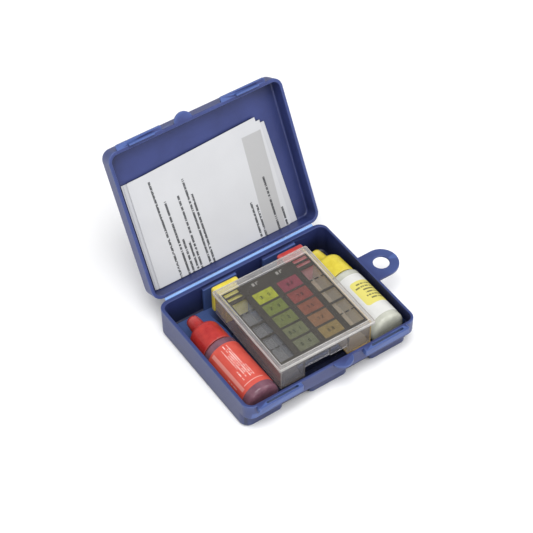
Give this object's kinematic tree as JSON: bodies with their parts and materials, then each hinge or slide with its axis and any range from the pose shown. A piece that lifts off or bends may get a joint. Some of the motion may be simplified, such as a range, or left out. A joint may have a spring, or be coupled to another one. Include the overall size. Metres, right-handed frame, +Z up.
{
  "type": "water test kit",
  "caption": "Hinged pocket case holding a two-cell colour comparator, two reagent dropper bottles and folded instruction sheets for testing pool water.",
  "frame": {"origin": "middle of the closed case's rectangular footprint (latch ledges, thumb lips, lug and hinge left out), on the underside of the tray", "axes": "+Z up, X across the width of the case with the hanging lug at +X, -Y towards the opening side, +Y towards the hinge"},
  "size_m": [0.1754, 0.1959, 0.1408],
  "materials": {
    "case_plastic": "satin polypropylene with a fine moulded texture",
    "hinge_film": "thin flexed polypropylene, slightly glossier than the case",
    "clear_plastic": "clear moulded polystyrene, glossy",
    "printed_card": "dark printed card",
    "chlorine_tints": "tinted film chips, yellow to grey-green",
    "ph_tints": "tinted film chips, crimson to brown",
    "white_film": "white diffusing film",
    "yellow_plastic": "smooth yellow moulding",
    "red_plastic": "smooth red moulding",
    "purple_squeeze_plastic": "translucent squeeze plastic, satin",
    "clear_squeeze_plastic": "translucent squeeze plastic, satin",
    "red_liquid": "dark red indicator liquid",
    "pale_liquid": "pale indicator liquid",
    "natural_plastic": "natural polyethylene",
    "white_foam": "foam liner",
    "red_paper": "coated label paper",
    "white_paper": "coated label paper with a yellow panel",
    "leaflet_paper": "thin folded printing paper"
  },
  "bodies": {
    "tray": {"base_tray": "case_plastic", "living_hinge": "hinge_film"},
    "lid": {"lid": "case_plastic"},
    "leaflets": {"leaflet_front": "leaflet_paper", "leaflet_back": "leaflet_paper"},
    "comparator": {"comparator_body": "clear_plastic", "comparator_window": "clear_plastic", "mask_card": "printed_card", "chlorine_standards": "chlorine_tints", "ph_standards": "ph_tints", "backing_film": "white_film"},
    "chlorine_stopper": {"chlorine_cell_cap": "yellow_plastic"},
    "ph_stopper": {"ph_cell_cap": "red_plastic"},
    "red_bottle": {"red_bottle": "purple_squeeze_plastic", "red_reagent": "red_liquid", "red_dropper_nozzle": "natural_plastic", "red_label": "red_paper"},
    "red_cap_carrier": {"red_cap_liner": "white_foam"},
    "red_cap": {"red_cap": "red_plastic"},
    "yellow_bottle": {"yellow_bottle": "clear_squeeze_plastic", "yellow_reagent": "pale_liquid", "yellow_dropper_nozzle": "natural_plastic", "yellow_label": "white_paper"},
    "yellow_cap_carrier": {"yellow_cap_liner": "white_foam"},
    "yellow_cap": {"yellow_cap": "yellow_plastic"}
  },
  "joints": [
    {"name": "lid_hinge", "type": "hinge", "parent": "tray", "child": "lid", "pos_m": [0, 0.06116, 0.02713], "axis": [-1, 0, 0], "range_deg": [-117.05, 62.9]},
    {"name": "leaflets_out", "type": "slide", "parent": "lid", "child": "leaflets", "axis": [0, -0.8906, 0.4548], "range_m": [0, 0.04]},
    {"name": "comparator_lift", "type": "slide", "parent": "tray", "child": "comparator", "axis": [0, 0, 1], "range_m": [0, 0.05]},
    {"name": "chlorine_stopper_pull", "type": "slide", "parent": "comparator", "child": "chlorine_stopper", "axis": [0.0157, 0.9999, 0], "range_m": [0, 0.01]},
    {"name": "ph_stopper_pull", "type": "slide", "parent": "comparator", "child": "ph_stopper", "axis": [0.0157, 0.9999, 0], "range_m": [0, 0.01]},
    {"name": "red_bottle_lift", "type": "slide", "parent": "tray", "child": "red_bottle", "axis": [0, 0, 1], "range_m": [0, 0.05]},
    {"name": "yellow_bottle_lift", "type": "slide", "parent": "tray", "child": "yellow_bottle", "axis": [0.1142, 0, 0.9935], "range_m": [0, 0.05]},
    {"name": "red_cap_travel", "type": "slide", "parent": "red_bottle", "child": "red_cap_carrier", "axis": [-0.0122, 0.9999, 0], "range_m": [0, 0.0046]},
    {"name": "red_cap_turn", "type": "hinge", "parent": "red_cap_carrier", "child": "red_cap", "pos_m": [-0.05667, 0.02, 0.01605], "axis": [-0.0122, 0.9999, 0], "range_deg": [0, 540]},
    {"name": "yellow_cap_travel", "type": "slide", "parent": "yellow_bottle", "child": "yellow_cap_carrier", "axis": [-0.0122, 0.9999, 0], "range_m": [0, 0.0046]},
    {"name": "yellow_cap_turn", "type": "hinge", "parent": "yellow_cap_carrier", "child": "yellow_cap", "pos_m": [0.05622, 0.02, 0.01605], "axis": [-0.0122, 0.9999, 0], "range_deg": [0, 540]}
  ],
  "couplings": [
    {"joint": "red_cap_travel", "follows": "red_cap_turn", "m_per_rad": 0.00047746},
    {"joint": "yellow_cap_travel", "follows": "yellow_cap_turn", "m_per_rad": 0.00047746}
  ]
}
